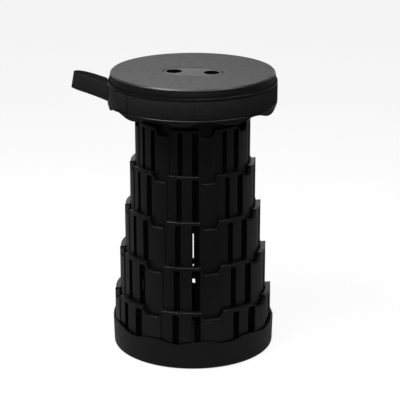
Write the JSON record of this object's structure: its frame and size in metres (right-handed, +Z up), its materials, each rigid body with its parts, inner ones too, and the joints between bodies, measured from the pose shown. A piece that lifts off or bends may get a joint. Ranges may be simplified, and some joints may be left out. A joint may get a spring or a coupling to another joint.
{
  "type": "telescopic stool",
  "caption": "Round stool of nesting fluted rings that pull out of a base cup and lock, with a drum seat, finger holes and a webbing carrying loop.",
  "frame": {"origin": "middle of the floor contact, on the upright axis of the stool", "axes": "+Z up, the front towards -Y, +X to the right as seen from the front; the carrying loop hangs at -X"},
  "size_m": [0.3162, 0.2538, 0.432],
  "materials": {
    "body_plastic": "satin moulded polypropylene",
    "seat_plastic": "fine grained moulded polypropylene",
    "webbing": "ribbed woven webbing",
    "steel": "bright zinc",
    "pad_rubber": "matt"
  },
  "bodies": {
    "base": {"ring_5": "body_plastic", "base_cup": "body_plastic", "base_screws": "steel", "foot_pads": "pad_rubber"},
    "stage_4": {"ring_4": "body_plastic"},
    "stage_3": {"ring_3": "body_plastic"},
    "stage_2": {"ring_2": "body_plastic"},
    "stage_1": {"ring_1": "body_plastic"},
    "seat": {"seat_ring": "body_plastic", "seat_drum": "body_plastic", "seat_lid": "seat_plastic", "grip_insert": "seat_plastic", "strap_band": "webbing", "strap_keeper": "body_plastic", "keeper_pin": "steel", "strap_loop": "webbing", "lid_screws": "steel", "seat_ring_screws": "steel"}
  },
  "joints": [
    {"name": "stage_4_slide", "type": "slide", "parent": "base", "child": "stage_4", "axis": [0, 0, 1], "range_m": [-0.0678, 0]},
    {"name": "stage_3_slide", "type": "slide", "parent": "stage_4", "child": "stage_3", "axis": [0, 0, 1], "range_m": [-0.0678, 0]},
    {"name": "stage_2_slide", "type": "slide", "parent": "stage_3", "child": "stage_2", "axis": [0, 0, 1], "range_m": [-0.0678, 0]},
    {"name": "stage_1_slide", "type": "slide", "parent": "stage_2", "child": "stage_1", "axis": [0, 0, 1], "range_m": [-0.0678, 0]},
    {"name": "seat_slide", "type": "slide", "parent": "stage_1", "child": "seat", "axis": [0, 0, 1], "range_m": [-0.055, 0]}
  ]
}
